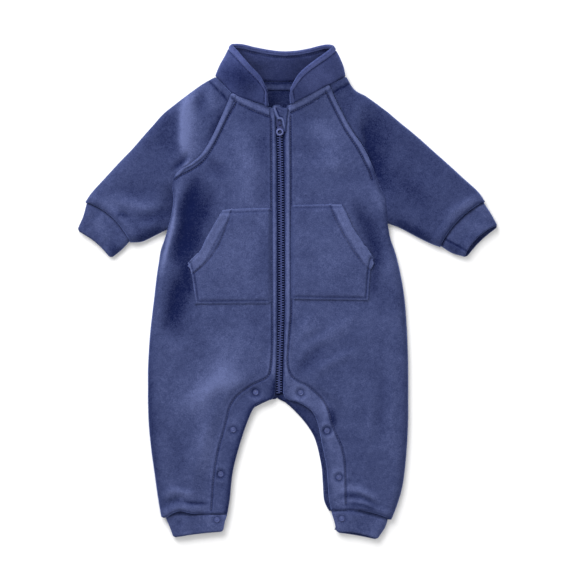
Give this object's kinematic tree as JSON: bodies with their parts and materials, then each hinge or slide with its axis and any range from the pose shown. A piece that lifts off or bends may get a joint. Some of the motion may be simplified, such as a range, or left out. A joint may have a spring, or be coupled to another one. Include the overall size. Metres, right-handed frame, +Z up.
{
  "type": "onesie pajama",
  "caption": "Baby's long-sleeved fleece romper with a stand collar, centre zip, split kangaroo pocket, cuffs and snapped inner legs, laid flat on its back.",
  "frame": {"origin": "bottom centre of the garment's box as it lies, on the surface under the back", "axes": "+Z up off the surface, out of the front; +Y towards the collar; +X to the sleeve on the right as seen from above"},
  "size_m": [0.5063, 0.593, 0.0465],
  "materials": {
    "fleece": "soft brushed navy fleece, matt with a faint nap sheen",
    "cuff": "finely brushed navy fleece with some stretch, matt",
    "zip_tape": "woven navy polyester tape",
    "zip_plastic": "navy moulded plastic, satin",
    "snap": "painted navy snap fasteners, satin"
  },
  "bodies": {
    "garment": {"back_panel": "fleece", "front_left": "fleece", "front_right": "fleece", "sleeve_left": "fleece", "sleeve_right": "fleece", "collar": "fleece", "pocket_left": "fleece", "pocket_right": "fleece", "back_placket_left": "fleece", "back_placket_right": "fleece", "chin_guard": "fleece", "neck_tape": "fleece", "sleeve_cuff_left": "cuff", "sleeve_cuff_right": "cuff", "leg_cuff_left": "cuff", "leg_cuff_right": "cuff", "zip_tape_left": "zip_tape", "zip_tape_right": "zip_tape", "zip_chain_left": "zip_plastic", "zip_chain_right": "zip_plastic", "zip_slider": "zip_plastic", "snap_cap_left_1": "snap", "snap_cap_left_2": "snap", "snap_cap_left_3": "snap", "snap_cap_left_4": "snap", "snap_cap_right_1": "snap", "snap_cap_right_2": "snap", "snap_cap_right_3": "snap", "snap_cap_right_4": "snap", "snap_stud_left_1": "snap", "snap_stud_left_2": "snap", "snap_stud_left_3": "snap", "snap_stud_left_4": "snap", "snap_stud_right_1": "snap", "snap_stud_right_2": "snap", "snap_stud_right_3": "snap", "snap_stud_right_4": "snap"},
    "pull_tab": {"zip_pull_tab": "zip_plastic"}
  },
  "joints": [
    {"name": "pull_tab_hinge", "type": "hinge", "parent": "garment", "child": "pull_tab", "pos_m": [-0.0086, 0.203, 0.014], "axis": [-1, 0, 0], "range_deg": [0, 85]}
  ]
}
